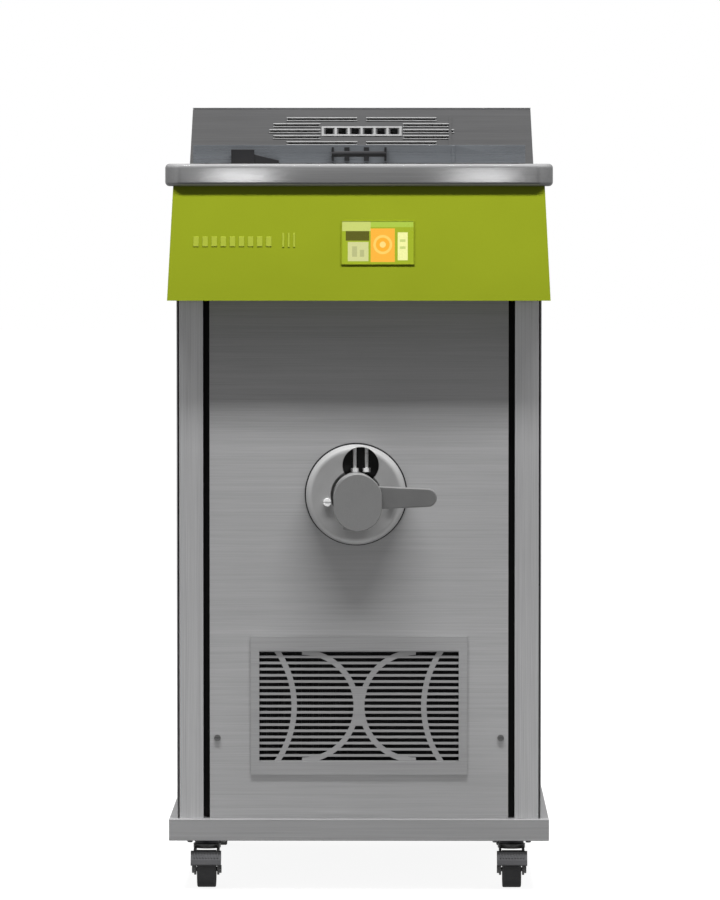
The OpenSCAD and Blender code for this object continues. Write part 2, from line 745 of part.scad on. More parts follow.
module condenser() color([0.5, 0.51, 0.52]) {
  difference() {
    span([-cond_w / 2, cond_y, cond_z], [cond_w / 2, cond_y + cond_t, cond_z + cond_h]);
    for (k = [0:36])
      span([-cond_w / 2 + 6 + k * 8, cond_y - 1, cond_z + 6], [-cond_w / 2 + 12 + k * 8, cond_y + 12, cond_z + cond_h - 6]);
  }
  span([-cond_w / 2, cond_y, floor_z + 2], [-cond_w / 2 + 12, cond_y + cond_t, cond_z]);
  span([cond_w / 2 - 12, cond_y, floor_z + 2], [cond_w / 2, cond_y + cond_t, cond_z]);
}

module fan_shroud() color(black) translate([0, cond_y + cond_t, fan_z]) rotate([-90, 0, 0]) {
  difference() {
    translate([-cond_w / 2, -cond_h / 2, 0]) cube([cond_w, cond_h, 2]);
    translate([0, 0, -1]) cylinder(r = fan_r + 5, h = 4);
  }
  translate([0, 0, 2]) ring(fan_r + 7, fan_r + 5, 40);
}

module fan_motor() color(dark_steel) translate([0, fan_y + 22, fan_z]) rotate([-90, 0, 0]) {
  cylinder(r = 34, h = 52);
  translate([0, 0, -30]) cylinder(r = fan_shaft_r, h = 31);
  for (a = [0:90:270]) rotate([0, 0, a + 45]) translate([20, -3, 12]) cube([fan_r - 6, 6, 4]);
  for (a = [0:90:270]) rotate([0, 0, a + 45]) translate([fan_r + 8, -3, -14]) cube([6, 6, 30]);
}

module fan_blades() color(black) translate([0, fan_y, fan_z]) rotate([-90, 0, 0]) difference() {
  union() {
    translate([0, 0, -10]) cylinder(r = fan_hub_r, h = 28);
    for (a = [0:72:288]) rotate([0, 0, a]) translate([fan_hub_r - 4, 0, 4]) rotate([28, 0, 0])
      translate([0, -26, -1]) cube([fan_r - fan_hub_r - 2, 52, 2]);
  }
  translate([0, 0, -11]) cylinder(r = fan_shaft_r + run_fit, h = 40);
}

// ---- castors ----

module castor_plates() color(dark_steel) for (i = [0:3]) at_castor(i) {
  translate([-30, -30, castor_h - 3]) cube([60, 60, 3]);
  translate([0, 0, fork_top + 0.5]) cylinder(r = 17, h = castor_h - 3 - fork_top - 0.5);
  translate([0, 0, fork_top - 6]) cylinder(r = kingpin_r, h = 12);
}

module cheek(brake) {
  polygon([[15, fork_top - 1], [-20, fork_top - 1], [-26, wheel_r], [-10, wheel_r]]);
  translate([-trail, wheel_r]) circle(r = 8);
  if (brake) {
    polygon([[-10, fork_top - 1], [pedal_y, pedal_z + 4.5], [pedal_y, pedal_z - 4.5], [-20, 38]]);
    translate([pedal_y, pedal_z]) circle(r = 4.5);
  }
}

module castor_fork(i) color(dark_steel) at_castor(i) {
  difference() {
    union() {
      translate([0, 0, fork_top - 6]) cylinder(r = 19, h = 6);
      for (x = [-cheek_in - cheek_t, cheek_in]) translate([x, 0, 0]) rotate([90, 0, 90])
        linear_extrude(cheek_t) cheek(i < 2);
    }
    translate([0, 0, fork_top - 8]) cylinder(r = kingpin_r + run_fit, h = 20);
    rod_x(-30, 30, -trail, wheel_r, axle_r);
    if (i < 2) rod_x(-30, 30, pedal_y, pedal_z, pedal_pin_r + run_fit);
  }
  rod_x(-cheek_in - cheek_t - 3, cheek_in + cheek_t + 3, -trail, wheel_r, axle_r);
  for (x = [-cheek_in - cheek_t - 3, cheek_in + cheek_t]) rod_x(x, x + 3, -trail, wheel_r, 5.5);
}

module castor_wheel(i) color(black) at_castor(i) translate([-wheel_w / 2, -trail, wheel_r]) rotate([0, 90, 0])
  rotate_extrude() difference() {
    union() {
      translate([axle_r + run_fit, 0]) square([wheel_r - axle_r - run_fit - 2, wheel_w]);
      translate([axle_r + run_fit, 2]) square([wheel_r - axle_r - run_fit, wheel_w - 4]);
      for (z = [2, wheel_w - 2]) translate([wheel_r - 2, z]) circle(r = 2);
    }
    for (z = [-1, wheel_w - 2]) translate([9, z]) square([wheel_r - 15, 3]);
  }

module brake_pedal(i) color([0.4, 0.4, 0.41]) at_castor(i) {
  half = cheek_in - 0.5;
  rod_x(-cheek_in - cheek_t, cheek_in + cheek_t, pedal_y, pedal_z, pedal_pin_r);
  translate([-half, 0, 0]) rotate([90, 0, 90]) linear_extrude(2 * half)
    polygon([[-49, 54], [-38, 54], [-38, 46], [-49, 44]]);
  translate([-21, 0, 0]) rotate([90, 0, 90]) linear_extrude(42)
    polygon([[-48, 54], [-54, 53], [-60, 42], [-61, 36], [-57, 34], [-48, 44]]);
}

base_frame();
base_plate();
front_columns();
front_panel();
side_panel_left();
side_panel_right();
rear_panel();
worktop();
fascia();
screen_bezel();
screen_glass();
control_board();
hood_front();
hood_top();
hood_sides();
vent_grille();
panel_screws();
cable_gland();
motor_shelf();
electrical_box();
tank();
tank_insulation();
evaporator_coil();
outlet_pipe();
tap_gasket();
tap_flange();
tap_fasteners();
tap_body();
tap_plug();
tap_lever();
tap_cap();
bearing_housing();
stirrer_shaft();
stirrer_paddle();
driven_pulley();
drive_belt();
drive_pulley();
gear_motor();
lid();
lid_seal();
lid_handle();
lid_hinge();
lid_switch();
compressor();
compressor_feet();
condenser();
fan_shroud();
fan_motor();
fan_blades();
castor_plates();
for (i = [0:3]) castor_fork(i);
for (i = [0:3]) castor_wheel(i);
for (i = [0:1]) brake_pedal(i);
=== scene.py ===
# %% [markdown]
# # A floor-standing ice cream machine
# The metal cabinet, tank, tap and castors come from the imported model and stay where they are.
# This lesson gives each of them its finish and adds the small formed details: rolled edges,
# louvre lips, screw heads, cooling fins and the lit display.

# %% Load the frame
import json
import math

import bmesh
import bpy
from mathutils import Matrix, Vector

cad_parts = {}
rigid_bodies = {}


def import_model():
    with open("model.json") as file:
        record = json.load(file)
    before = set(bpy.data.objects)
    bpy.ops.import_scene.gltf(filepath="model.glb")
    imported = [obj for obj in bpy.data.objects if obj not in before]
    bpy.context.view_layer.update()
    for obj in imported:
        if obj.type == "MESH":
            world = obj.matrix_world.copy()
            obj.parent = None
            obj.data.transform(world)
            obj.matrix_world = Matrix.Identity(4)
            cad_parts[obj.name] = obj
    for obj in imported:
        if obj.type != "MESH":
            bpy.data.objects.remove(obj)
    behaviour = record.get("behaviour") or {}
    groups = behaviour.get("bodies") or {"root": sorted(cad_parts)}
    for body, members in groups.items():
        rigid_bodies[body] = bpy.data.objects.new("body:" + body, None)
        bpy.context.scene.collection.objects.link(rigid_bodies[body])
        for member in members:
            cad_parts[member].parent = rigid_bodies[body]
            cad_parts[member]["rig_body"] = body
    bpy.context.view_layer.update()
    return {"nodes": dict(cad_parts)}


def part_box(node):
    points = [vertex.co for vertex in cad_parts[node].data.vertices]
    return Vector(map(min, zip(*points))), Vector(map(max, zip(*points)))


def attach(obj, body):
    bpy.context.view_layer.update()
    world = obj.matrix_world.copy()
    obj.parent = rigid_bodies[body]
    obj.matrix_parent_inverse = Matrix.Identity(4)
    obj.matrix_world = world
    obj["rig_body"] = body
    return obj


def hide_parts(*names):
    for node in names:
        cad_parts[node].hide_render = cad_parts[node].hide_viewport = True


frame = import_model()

MM = 0.001

# %% [markdown]
# ## Camera
# A catalogue picture of a tall machine is taken from far away with a long lens, so that upright
# edges stay upright. The camera stands at worktop height and looks a little down. The lens length
# follows from how much of the scene has to fit the tall side of the picture.

# %% Camera
scene = bpy.context.scene
scene.view_settings.view_transform = "Standard"
panel_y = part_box("front_panel")[0].y
top_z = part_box("worktop")[1].z
camera_far = 8.2
picture_height = 1.242
camera_data = bpy.data.cameras.new("camera")
camera_data.sensor_width = 36
camera_data.lens = camera_data.sensor_width * camera_far / picture_height
camera = bpy.data.objects.new("camera", camera_data)
scene.collection.objects.link(camera)
camera.location = (0.06, panel_y - camera_far, top_z - 0.02)
aim = Vector((0.0014, panel_y, 0.610))
camera.rotation_euler = (aim - camera.location).to_track_quat("-Z", "Y").to_euler()
scene.camera = camera
print("lens, mm:", round(camera_data.lens, 1))

# %% [markdown]
# ## Small helpers for node trees
# Materials, the room and the repeating details are all node trees. These few functions add a
# node, join two sockets and make a colour ramp.

# %% Node helpers
def wire(tree, source, target):
    tree.links.new(source, target)


def add_node(tree, kind, **settings):
    node = tree.nodes.new(kind)
    for key, value in settings.items():
        setattr(node, key, value)
    return node


def ramp_node(tree, factor, stops, interpolation="LINEAR"):
    """A colour ramp whose stops are (position, colour)."""
    node = add_node(tree, "ShaderNodeValToRGB")
    elements = node.color_ramp.elements
    node.color_ramp.interpolation = interpolation
    while len(elements) < len(stops):
        elements.new(0.5)
    for element, (position, colour) in zip(elements, stops):
        element.position = position
        element.color = (*colour, 1)
    if factor is not None:
        wire(tree, factor, node.inputs["Fac"])
    return node.outputs["Color"]


def grey(level):
    return (level, level, level)

# %% [markdown]
# ## The room
# Steel has hardly any colour of its own: what it shows is the room. The room here is dim near the
# horizon and bright overhead, and nearly dark straight ahead of the machine's front. The lens
# sees a plain white backdrop in its place, as in a cut-out catalogue picture.

# %% World
def studio_world():
    world = bpy.data.worlds.new("studio")
    world.use_nodes = True
    scene.world = world
    tree = world.node_tree
    tree.nodes.clear()
    split = add_node(tree, "ShaderNodeSeparateXYZ")
    wire(tree, add_node(tree, "ShaderNodeTexCoord").outputs["Generated"], split.inputs[0])
    # Height above the horizon, from straight down (0) to straight up (1)
    height = add_node(tree, "ShaderNodeMapRange")
    wire(tree, split.outputs["Z"], height.inputs["Value"])
    height.inputs["From Min"].default_value = -1.0
    room = ramp_node(tree, height.outputs["Result"], [
        (0.0, grey(0.30)), (0.44, grey(0.40)), (0.50, grey(0.36)), (0.66, grey(0.30)), (0.88, grey(0.60)),
        (1.0, grey(0.80))])
    # A dark sector straight ahead, as wide as the camera's end of the studio
    sideways = add_node(tree, "ShaderNodeMath", operation="ABSOLUTE")
    wire(tree, split.outputs["X"], sideways.inputs[0])
    beside = add_node(tree, "ShaderNodeMapRange", interpolation_type="SMOOTHSTEP")
    wire(tree, sideways.outputs[0], beside.inputs["Value"])
    for key, value in (("From Min", 0.30), ("From Max", 0.60), ("To Min", 1.0), ("To Max", 0.0)):
        beside.inputs[key].default_value = value
    ahead = add_node(tree, "ShaderNodeMapRange", interpolation_type="SMOOTHSTEP")
    wire(tree, split.outputs["Y"], ahead.inputs["Value"])
    for key, value in (("From Min", -0.45), ("From Max", -0.75), ("To Min", 0.0), ("To Max", 1.0)):
        ahead.inputs[key].default_value = value
    sector = add_node(tree, "ShaderNodeMath", operation="MULTIPLY")
    wire(tree, beside.outputs["Result"], sector.inputs[0])
    wire(tree, ahead.outputs["Result"], sector.inputs[1])
    dim = add_node(tree, "ShaderNodeMix", data_type="RGBA")
    wire(tree, sector.outputs[0], dim.inputs["Factor"])
    wire(tree, room, dim.inputs["A"])
    dim.inputs["B"].default_value = (*grey(0.05), 1)
    path = add_node(tree, "ShaderNodeLightPath")
    seen = add_node(tree, "ShaderNodeMix", data_type="RGBA")
    wire(tree, path.outputs["Is Camera Ray"], seen.inputs["Factor"])
    wire(tree, dim.outputs["Result"], seen.inputs["A"])
    seen.inputs["B"].default_value = (*grey(1.0), 1)
    background = add_node(tree, "ShaderNodeBackground")
    wire(tree, seen.outputs["Result"], background.inputs["Color"])
    wire(tree, background.outputs[0], add_node(tree, "ShaderNodeOutputWorld").inputs["Surface"])


studio_world()

# %% [markdown]
# ## Lamps
# The key lamp is a long strip high above and a little in front, so the leaning fascia throws a
# soft shadow down the head of the front panel. A weak one lies on the floor and stands for the
# light that a white studio floor throws back at the foot of the machine.

# %% Lamps
def area_lamp(name, place, target, size, power):
    data = bpy.data.lights.new(name, "AREA")
    data.shape = "RECTANGLE"
    data.size, data.size_y = size
    data.energy = power
    lamp = bpy.data.objects.new(name, data)
    scene.collection.objects.link(lamp)
    lamp.location = place
    lamp.rotation_euler = (Vector(target) - Vector(place)).to_track_quat("-Z", "Y").to_euler()
    return lamp


key_y = panel_y - 0.57
bounce_y = panel_y - 0.55
key = area_lamp("key", (0, key_y, 3.0), (0, key_y + 0.25, 0.5), (2.4, 0.20), 245)
floor_bounce = area_lamp("floor_bounce", (0, bounce_y, 0.01), (0, panel_y, 0.35), (1.0, 0.5), 3.2)
# Neither shows as a hot spot in the steel
key.visible_glossy = False
floor_bounce.visible_glossy = False

# %% [markdown]
# ## Floor
# The floor is nearly as white as the backdrop by itself, so that no line shows where the two
# meet, and it keeps a little true shading for the soft shadows under the castors. It doesn't
# light the steel: the room already stands in for it.

# %% Floor
def white_floor():
    material = bpy.data.materials.new("white_floor")
    material.use_nodes = True
    tree = material.node_tree
    shader = tree.nodes["Principled BSDF"]
    shader.inputs["Roughness"].default_value = 1.0
    shader.inputs["Specular IOR Level"].default_value = 0.0
    mottle = add_node(tree, "ShaderNodeTexNoise")
    mottle.inputs["Scale"].default_value = 3.0
    wire(tree, add_node(tree, "ShaderNodeTexCoord").outputs["Object"], mottle.inputs["Vector"])
    tone = ramp_node(tree, mottle.outputs["Fac"], [(0.3, grey(0.30)), (0.7, grey(0.32))])
    wire(tree, tone, shader.inputs["Base Color"])
    shader.inputs["Emission Color"].default_value = (*grey(1.0), 1)
    shader.inputs["Emission Strength"].default_value = 0.90
    mesh = bpy.data.meshes.new("floor")
    shape = bmesh.new()
    bmesh.ops.create_circle(shape, cap_ends=True, segments=96, radius=30)
    shape.to_mesh(mesh)
    shape.free()
    floor = bpy.data.objects.new("floor", mesh)
    scene.collection.objects.link(floor)
    mesh.materials.append(material)
    floor.visible_diffuse = False
    floor.visible_glossy = False


white_floor()

# %% [markdown]
# ## Finishes
# Each finish is a small node tree on the piece's own coordinates. A shared helper gives the
# place of a point in the piece, stretched as the pattern needs it, and a second one makes noise.

# %% Pattern helpers
def new_finish(name, metallic=0.0, roughness=0.5):
    material = bpy.data.materials.new(name)
    material.use_nodes = True
    shader = material.node_tree.nodes["Principled BSDF"]
    shader.inputs["Metallic"].default_value = metallic
    shader.inputs["Roughness"].default_value = roughness
    return material, material.node_tree, shader


def place(tree, stretch=(1, 1, 1), shift=(0, 0, 0), turn=(0, 0, 0)):
    mapping = add_node(tree, "ShaderNodeMapping", vector_type="POINT")
    mapping.inputs["Location"].default_value = shift
    mapping.inputs["Rotation"].default_value = turn
    mapping.inputs["Scale"].default_value = stretch
    wire(tree, add_node(tree, "ShaderNodeTexCoord").outputs["Object"], mapping.inputs["Vector"])
    return mapping.outputs["Vector"]


def noise(tree, where, scale, detail=2.0, rough=0.5):
    node = add_node(tree, "ShaderNodeTexNoise")
    node.inputs["Scale"].default_value = scale
    node.inputs["Detail"].default_value = detail
    node.inputs["Roughness"].default_value = rough
    wire(tree, where, node.inputs["Vector"])
    return node.outputs["Fac"]


def spread(tree, value, low, high, low_in=0.3, high_in=0.7):
    """Maps a noise value on to a range."""
    node = add_node(tree, "ShaderNodeMapRange")
    wire(tree, value, node.inputs["Value"])
    for key, number in (("From Min", low_in), ("From Max", high_in), ("To Min", low), ("To Max", high)):
        node.inputs[key].default_value = number
    return node.outputs["Result"]


def maths(tree, operation, a, b=0.0, clamp=False):
    node = add_node(tree, "ShaderNodeMath", operation=operation, use_clamp=clamp)
    for socket, value in zip(node.inputs, (a, b)):
        if isinstance(value, (int, float)):
            socket.default_value = value
        else:
            wire(tree, value, socket)
    return node.outputs[0]


def blend_colours(tree, factor, a, b, mode="MIX"):
    node = add_node(tree, "ShaderNodeMix", data_type="RGBA", blend_type=mode)
    for socket, value in ((node.inputs["Factor"], factor), (node.inputs["A"], a), (node.inputs["B"], b)):
        if isinstance(value, (int, float)):
            socket.default_value = value
        elif isinstance(value, tuple):
            socket.default_value = (*value, 1)
        else:
            wire(tree, value, socket)
    return node.outputs["Result"]


def bump(tree, shader, height, distance, strength=1.0):
    node = add_node(tree, "ShaderNodeBump")
    node.inputs["Distance"].default_value = distance
    node.inputs["Strength"].default_value = strength
    wire(tree, height, node.inputs["Height"])
    wire(tree, node.outputs["Normal"], shader.inputs["Normal"])

# %% [markdown]
# ## Brushed steel
# Sheet steel leaves the mill with hair-fine scratches that all run one way. They spread a
# reflection across the grain and hardly along it. Noise stretched a few hundred times along the
# grain gives the scratches, as colour, as roughness and as a shallow bump. Slow noise adds the
# cloudy patches that handling and wiping leave.

# %% Brushed and polished steel
GRAIN = {"x": (1.2, 260, 260), "y": (260, 1.2, 260), "z": (260, 260, 1.2)}


def brushed_steel(name, grain, shade, rough=(0.24, 0.36), depth=0.00006, tint=(1.0, 1.0, 1.01), metallic=0.9,
                  stretch=0.7, painted_gap_shade=False):
    material, tree, shader = new_finish(name, metallic=metallic)
    shader.inputs["Anisotropic"].default_value = stretch
    shader.inputs["Anisotropic Rotation"].default_value = 0.0 if grain == "z" else 0.25
    hairs = noise(tree, place(tree, GRAIN[grain]), 7.0, detail=5.0, rough=0.65)
    streaks = noise(tree, place(tree, tuple(s * 0.12 for s in GRAIN[grain])), 6.0, detail=3.0)
    clouds = noise(tree, place(tree), 4.5, detail=3.0)
    dark = tuple(shade * 0.80 * t for t in tint)
    light = tuple(shade * 1.16 * t for t in tint)
    base = ramp_node(tree, hairs, [(0.28, dark), (0.72, light)])
    base = blend_colours(tree, spread(tree, streaks, 0.0, 0.30), base, tuple(shade * 1.30 * t for t in tint))
    base = blend_colours(tree, spread(tree, clouds, 0.0, 0.22), base, tuple(shade * 0.66 * t for t in tint))
    if painted_gap_shade:
        # Painted shade: the joint beside the front panel is darkened to near black below its lips, so that it
        # reads as a deep gap
        split = add_node(tree, "ShaderNodeSeparateXYZ")
        wire(tree, place(tree), split.inputs[0])
        gap_shade_mask = spread(tree, split.outputs["Y"], 0.0, 1.0, panel_y + 0.0022, panel_y + 0.009)
        base = blend_colours(tree, gap_shade_mask, base, grey(0.012))
    wire(tree, base, shader.inputs["Base Color"])
    wire(tree, spread(tree, maths(tree, "ADD", maths(tree, "MULTIPLY", hairs, 0.5),
                                  maths(tree, "MULTIPLY", clouds, 0.5)), *rough), shader.inputs["Roughness"])
    bump(tree, shader, hairs, depth, 0.6)
    return material


def polished_steel(name, shade, rough=(0.10, 0.20), metallic=1.0):
    material, tree, shader = new_finish(name, metallic=metallic)
    fine = noise(tree, place(tree), 900.0, detail=3.0)
    smears = noise(tree, place(tree), 28.0, detail=4.0)
    base = ramp_node(tree, smears, [(0.3, grey(shade * 0.9)), (0.7, grey(shade))])
    wire(tree, base, shader.inputs["Base Color"])
    wire(tree, spread(tree, maths(tree, "ADD", maths(tree, "MULTIPLY", fine, 0.4),
                                  maths(tree, "MULTIPLY", smears, 0.6)), *rough), shader.inputs["Roughness"])
    bump(tree, shader, fine, 0.00002, 0.3)
    return material


def flange_steel():
    """Satin steel, with painted shade inside the round pocket: its colour goes near black there so that the pocket
    reads as a recess.
    """
    material = polished_steel("flange", 0.56, rough=(0.28, 0.40), metallic=0.65)
    tree = material.node_tree
    shader = tree.nodes["Principled BSDF"]
    plain = shader.inputs["Base Color"].links[0].from_socket
    split = add_node(tree, "ShaderNodeSeparateXYZ")
    wire(tree, place(tree), split.inputs[0])
    pocket_x, pocket_z, pocket_r = 0.0025, 0.590, 0.025
    side = maths(tree, "SUBTRACT", split.outputs["X"], pocket_x)
    up = maths(tree, "SUBTRACT", split.outputs["Z"], pocket_z)
    squares = maths(tree, "ADD", maths(tree, "MULTIPLY", side, side), maths(tree, "MULTIPLY", up, up))
    reach = maths(tree, "SQRT", squares)
    # Painted shade: the colour goes near black inside the pocket's edge
    pocket = spread(tree, reach, 1.0, 0.0, pocket_r - 0.0005, pocket_r + 0.0006)
    wire(tree, blend_colours(tree, pocket, plain, grey(0.03)), shader.inputs["Base Color"])
    return material


def blasted_steel(name, shade, rough=(0.42, 0.55), metallic=0.8):
    material, tree, shader = new_finish(name, metallic=metallic)
    grains = noise(tree, place(tree), 1600.0, detail=4.0, rough=0.7)
    patches = noise(tree, place(tree), 35.0, detail=3.0)
    base = ramp_node(tree, grains, [(0.3, grey(shade * 0.85)), (0.7, grey(shade * 1.1))])
    base = blend_colours(tree, spread(tree, patches, 0.0, 0.25), base, grey(shade * 0.75))
    wire(tree, base, shader.inputs["Base Color"])
    wire(tree, spread(tree, patches, *rough), shader.inputs["Roughness"])
    bump(tree, shader, grains, 0.00006, 0.5)
    return material

# %% [markdown]
# ## Paint, plastic, rubber and the rest
# Powder coat has a faint orange peel and a soft sheen. Moulded plastic and rubber show a fine
# grain and are never quite even in gloss. Castings, foam and copper pipe differ mainly in the
# size of their grain, so one function with a few named values makes all of them.

# %% Coated and moulded finishes
def coated(name, colour, rough, peel=320.0, depth=0.00008, metallic=0.0, vary=0.10, sheen=0.0, coat=0.0,
           shine=0.5):
    """A skin of one colour with a fine grain, uneven gloss and slow changes of tone."""
    material, tree, shader = new_finish(name, metallic=metallic)
    grain = noise(tree, place(tree), peel, detail=3.0)
    patches = noise(tree, place(tree), 11.0, detail=4.0)
    dark = tuple(c * (1 - vary) for c in colour)
    light = tuple(min(1.0, c * (1 + vary)) for c in colour)
    base = ramp_node(tree, patches, [(0.3, dark), (0.7, light)])
    worn = tuple(c * (1 - 1.6 * vary) for c in colour)
    base = blend_colours(tree, spread(tree, grain, 0.0, 0.25), base, worn)
    wire(tree, base, shader.inputs["Base Color"])
    wire(tree, spread(tree, maths(tree, "ADD", maths(tree, "MULTIPLY", grain, 0.35),
                                  maths(tree, "MULTIPLY", patches, 0.65)), *rough), shader.inputs["Roughness"])
    shader.inputs["Specular IOR Level"].default_value = shine
    shader.inputs["Sheen Weight"].default_value = sheen
    shader.inputs["Coat Weight"].default_value = coat
    shader.inputs["Coat Roughness"].default_value = 0.2
    bump(tree, shader, grain, depth, 0.5)
    return material


FINISH = {
    # Painted shade: steel_across and steel_upright are darkened in the joint beside the front panel.
    "steel_across": brushed_steel("steel_across", "x", 0.43, rough=(0.34, 0.46), metallic=0.45, painted_gap_shade=True),
    "steel_upright": brushed_steel("steel_upright", "z", 0.86, rough=(0.38, 0.50), metallic=0.80, stretch=0.8,
                                   painted_gap_shade=True),
    "steel_side": brushed_steel("steel_side", "y", 0.50, rough=(0.32, 0.44), metallic=0.70),
    "steel_back": brushed_steel("steel_back", "x", 0.50, rough=(0.32, 0.44), metallic=0.70),
    "steel_hood": brushed_steel("steel_hood", "x", 0.17, rough=(0.30, 0.42), metallic=0.70, stretch=0.4),
    "steel_lid": brushed_steel("steel_lid", "x", 0.30, rough=(0.24, 0.34), tint=(0.92, 0.98, 1.06), metallic=0.75),
    "steel_rim": brushed_steel("steel_rim", "x", 0.25, rough=(0.16, 0.26), metallic=0.55),
    "steel_top": brushed_steel("steel_top", "x", 0.50, rough=(0.22, 0.32), metallic=0.85),
    "steel_tray": brushed_steel("steel_tray", "x", 0.44, rough=(0.30, 0.42), metallic=0.55),
    "steel_grille": brushed_steel("steel_grille", "x", 0.38, rough=(0.34, 0.46), metallic=0.45),
    "polished": polished_steel("polished", 0.66, rough=(0.14, 0.24), metallic=0.9),
    # Painted highlight: the tap's nuts and screws take this nearly white, weakly metallic steel so that they show
    # as bright glints whatever they reflect.
    "bright": polished_steel("bright", 0.92, rough=(0.24, 0.36), metallic=0.35),
    "satin": polished_steel("satin", 0.56, rough=(0.28, 0.40), metallic=0.65),
    "flange": flange_steel(),
    "lever": polished_steel("lever", 0.29, rough=(0.30, 0.42), metallic=0.65),
    "blasted": blasted_steel("blasted", 0.28, metallic=0.5),
    "zinc": blasted_steel("zinc", 0.26, rough=(0.34, 0.5), metallic=0.75),
    "lime": coated("lime", (0.140, 0.170, 0.008), (0.42, 0.54), vary=0.03, depth=0.00005, shine=0.15),
    "lime_light": coated("lime_light", (0.195, 0.228, 0.024), (0.42, 0.54), vary=0.03, depth=0.00005, shine=0.15),
    "black_plastic": coated("black_plastic", (0.014, 0.014, 0.015), (0.45, 0.60), peel=900.0, vary=0.25),
    "grey_plastic": coated("grey_plastic", (0.060, 0.060, 0.063), (0.45, 0.6), peel=900.0, vary=0.2),
    "rubber": coated("rubber", (0.016, 0.016, 0.017), (0.62, 0.8), peel=1300.0, vary=0.3, sheen=0.1),
    "tread": coated("tread", (0.028, 0.028, 0.029), (0.55, 0.75), peel=600.0, vary=0.35),
    "board": coated("board", (0.012, 0.09, 0.035), (0.3, 0.45), peel=500.0, vary=0.2, coat=0.3),
    "foam": coated("foam", (0.62, 0.53, 0.30), (0.85, 0.95), peel=260.0, depth=0.0008, vary=0.12),
    "copper": coated("copper", (0.62, 0.28, 0.15), (0.24, 0.4), peel=700.0, metallic=1.0, vary=0.15),
    "black_enamel": coated("black_enamel", (0.012, 0.012, 0.013), (0.2, 0.32), peel=240.0, vary=0.2, coat=0.4),
    "fins": coated("fins", (0.050, 0.050, 0.052), (0.45, 0.6), peel=700.0, metallic=0.5, vary=0.2),
    "cast": coated("cast", (0.30, 0.31, 0.32), (0.42, 0.58), peel=800.0, metallic=1.0, depth=0.00015, vary=0.12),
    "grey_paint": coated("grey_paint", (0.36, 0.37, 0.38), (0.4, 0.52), vary=0.06),
    "iron": coated("iron", (0.08, 0.08, 0.084), (0.38, 0.52), peel=600.0, metallic=0.9, depth=0.0001, vary=0.15),
}
print("finishes made:", len(FINISH))

# %% [markdown]
# ## Soft edges
# Nothing folded from sheet or turned on a lathe has a knife edge, and the thin line of light along
# a fold is most of what tells steel from cardboard. Each visible piece is copied from the model,
# its loose triangles are joined, flat ones merge to plain faces, and a bevel rounds what is left.

# %% Rounded copies of the model's pieces
def rounded(node, finish, width=0.5, segments=2, sharp=32.0):
    """A copy of a model piece with joined faces and edges rounded by width, in millimetres."""
    source = frame["nodes"][node]
    shape = bmesh.new()
    shape.from_mesh(source.data)
    bmesh.ops.remove_doubles(shape, verts=shape.verts, dist=2e-6)
    bmesh.ops.dissolve_limit(shape, angle_limit=math.radians(0.6), use_dissolve_boundaries=False,
                             verts=shape.verts, edges=shape.edges)
    mesh = bpy.data.meshes.new(node + "_finished")
    shape.to_mesh(mesh)
    shape.free()
    mesh.materials.clear()
    mesh.materials.append(finish)
    for face in mesh.polygons:
        face.use_smooth = True
        face.material_index = 0
    mesh.set_sharp_from_angle(angle=math.radians(sharp))
    piece = bpy.data.objects.new(node + "_finished", mesh)
    scene.collection.objects.link(piece)
    if width:
        bevel = piece.modifiers.new("soft_edges", "BEVEL")
        bevel.width = width * MM
        bevel.segments = segments
        bevel.limit_method = "ANGLE"
        bevel.angle_limit = math.radians(sharp)
        bevel.harden_normals = True
    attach(piece, source["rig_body"])
    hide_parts(node)
    return piece


def dress(node, finish):
    """Gives a model piece its finish and leaves its shape alone."""
    mesh = frame["nodes"][node].data
    mesh.materials.clear()
    mesh.materials.append(finish)
    for face in mesh.polygons:
        face.material_index = 0

# %% [markdown]
# ## The display
# The screen is a lit sheet of glass with coloured fields under it. The fields are boxes in the
# plane of the glass, so the pattern is turned to lie in the leaning fascia and measured from the
# middle of the screen. It carries no words, only plain shapes and a ring.

# %% Screen finish
def screen_plane(tree):
    """Sideways and upward place on the glass, each from -0.5 to 0.5."""
    low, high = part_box("screen_glass")
    middle = (low + high) / 2
    lean = math.atan(32 / 157)
    across = high.x - low.x
    tall = (high.z - low.z) / math.cos(lean)
    split = add_node(tree, "ShaderNodeSeparateXYZ")
    wire(tree, place(tree), split.inputs[0])
    u = maths(tree, "MULTIPLY", maths(tree, "SUBTRACT", split.outputs["X"], middle.x), 1 / across)
    v = maths(tree, "MULTIPLY", maths(tree, "SUBTRACT", split.outputs["Z"], middle.z), 1 / tall)
    return u, v


def field(tree, u, v, left, right, low, high):
    """1 inside a box on the screen and 0 outside it."""
    parts = [maths(tree, "GREATER_THAN", u, left), maths(tree, "LESS_THAN", u, right),
             maths(tree, "GREATER_THAN", v, low), maths(tree, "LESS_THAN", v, high)]
    inside = parts[0]
    for part in parts[1:]:
        inside = maths(tree, "MULTIPLY", inside, part)
    return inside


def disc(tree, u, v, centre, radius, shape=1.66):
    """1 inside a circle on the screen; shape is the screen's width over its height."""
    du = maths(tree, "MULTIPLY", maths(tree, "SUBTRACT", u, centre[0]), shape)
    dv = maths(tree, "SUBTRACT", v, centre[1])
    square = maths(tree, "ADD", maths(tree, "MULTIPLY", du, du), maths(tree, "MULTIPLY", dv, dv))
    return maths(tree, "LESS_THAN", square, radius * radius)


